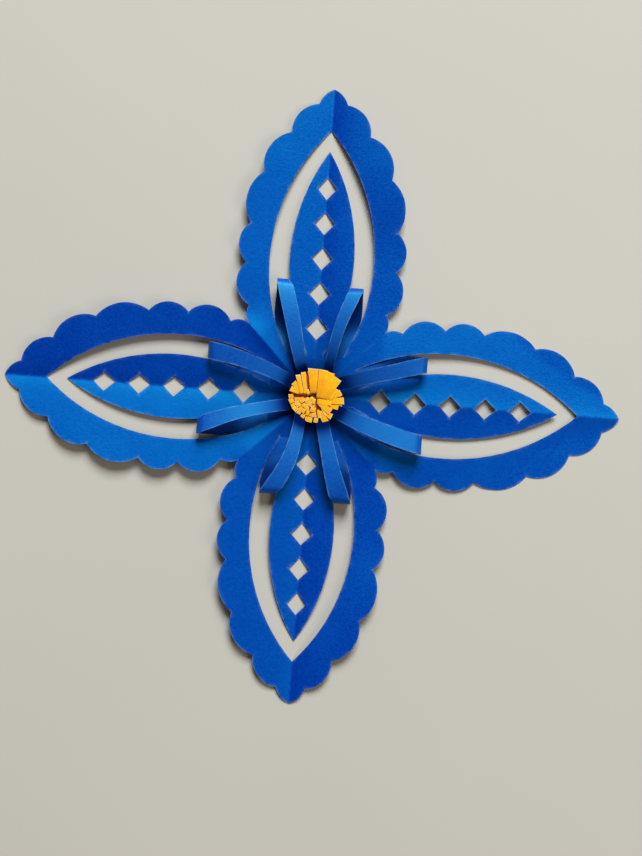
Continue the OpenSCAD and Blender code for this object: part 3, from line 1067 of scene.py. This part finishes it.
def glueDab():
    # dried glue that squeezed out between the loops' ends and the roll
    g = glue
    rings, steps = g["rings"], g["steps"]
    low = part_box("glue_pad")[0].z / unit
    middle = flower["centre"]
    verts = [(middle[0], middle[1], low + g["thick"])]
    for k in range(1, rings + 1):
        for j in range(steps):
            a = j * 2 * math.pi / steps
            edge = g["reach"] + g["ripple"] * noise.noise(Vector((math.cos(a) * 1.6, math.sin(a) * 1.6, 2.2)))
            t = k / rings
            z = low + g["thick"] * math.sqrt(max(0, 1 - t ** 4)) * (1 + 0.1 * math.sin(3 * a + 2))
            verts.append((middle[0] + edge * t * math.cos(a), middle[1] + edge * t * math.sin(a), z))
    faces = [(0, 1 + j, 1 + (j + 1) % steps) for j in range(steps)]
    for k in range(rings - 1):
        a, b = 1 + k * steps, 1 + (k + 1) * steps
        faces += [(a + j, b + j, b + (j + 1) % steps, a + (j + 1) % steps) for j in range(steps)]
    last = 1 + (rings - 1) * steps
    faces.append(tuple(reversed([last + j for j in range(steps)])))
    material, tree, shader, place = newMaterial("driedGlue", g["roughness"], 0.5)
    cloud = node(tree, "ShaderNodeTexNoise", {"Vector": place, "Scale": 420.0, "Detail": 3.0}).outputs[0]
    tree.links.new(mixColour(tree, cloud, g["clear"], g["milky"]), shader.inputs["Base Color"])
    bumpIn(tree, shader, cloud, 0.4, 0.0001)
    obj = meshFrom("glueDab", verts, faces, [0] * len(faces), [material])
    sharpenRims(obj, 60)
    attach(obj, "hub")
    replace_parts(obj, "glue_pad")
    return obj


glueDab()
print("flower ready")


# size is half the table's width in metres, low keeps it just under the card
table = {"size": 7.0, "low": -0.0002, "colour": (0.60, 0.585, 0.52, 1), "shade": (0.56, 0.545, 0.48, 1)}
material, tree, shader, place = newMaterial("paleTable", 0.7, 0.3)
cloud = node(tree, "ShaderNodeTexNoise", {"Vector": place, "Scale": 5.0, "Detail": 2.0}).outputs[0]
tree.links.new(mixColour(tree, cloud, table["colour"], table["shade"]), shader.inputs["Base Color"])
half, low = table["size"], table["low"]
corners = [(-half, -half, low), (half, -half, low), (half, half, low), (-half, half, low)]
floorMesh = bpy.data.meshes.new("tableTop")
floorMesh.from_pydata(corners, [], [(0, 1, 2, 3)])
floorMesh.materials.append(material)
floor = bpy.data.objects.new("tableTop", floorMesh)
bpy.context.scene.collection.objects.link(floor)

lights = {
    "keyLight": {"direction": (0.2, 1.4, 1.4), "away": 3.6, "size": 1.7, "power": 163,
                 "colour": (0.93, 0.96, 1.0)},
    "fillLight": {"direction": (0.9, -0.35, 1.0), "away": 2.4, "size": 1.2, "power": 11,
                  "colour": (1.0, 0.92, 0.84)},
}
for name, s in lights.items():
    lamp = bpy.data.lights.new(name, "AREA")
    lamp.size = s["size"]
    lamp.energy = s["power"]
    lamp.color = s["colour"]
    obj = bpy.data.objects.new(name, lamp)
    direction = Vector(s["direction"]).normalized()
    obj.location = direction * s["away"]
    obj.rotation_mode = "QUATERNION"
    obj.rotation_quaternion = direction.to_track_quat("Z", "Y")
    bpy.context.scene.collection.objects.link(obj)

room = {"colour": (1.0, 0.80, 0.60, 1), "strength": 0.11}
world = bpy.data.worlds.new("softRoom")
world.use_nodes = True
background = world.node_tree.nodes["Background"]
background.inputs["Color"].default_value = room["colour"]
background.inputs["Strength"].default_value = room["strength"]
bpy.context.scene.world = world
bpy.context.scene.view_settings.view_transform = "Standard"

# straight above, a little beside the centre; seen is the height of the view on the table, in metres
cameraPlace = {"x": 0.00544, "y": -0.01447, "away": 0.8, "roll": 4.3, "seen": 0.4034}
camera = bpy.data.cameras.new("camera")
camera.sensor_fit = "VERTICAL"
camera.sensor_height = 36
camera.lens = 36 * cameraPlace["away"] / cameraPlace["seen"]
cameraObject = bpy.data.objects.new("camera", camera)
cameraObject.location = (cameraPlace["x"], cameraPlace["y"], cameraPlace["away"])
cameraObject.rotation_euler = (0, 0, math.radians(cameraPlace["roll"]))
bpy.context.scene.collection.objects.link(cameraObject)
bpy.context.scene.camera = cameraObject
print("light, floor and camera ready")
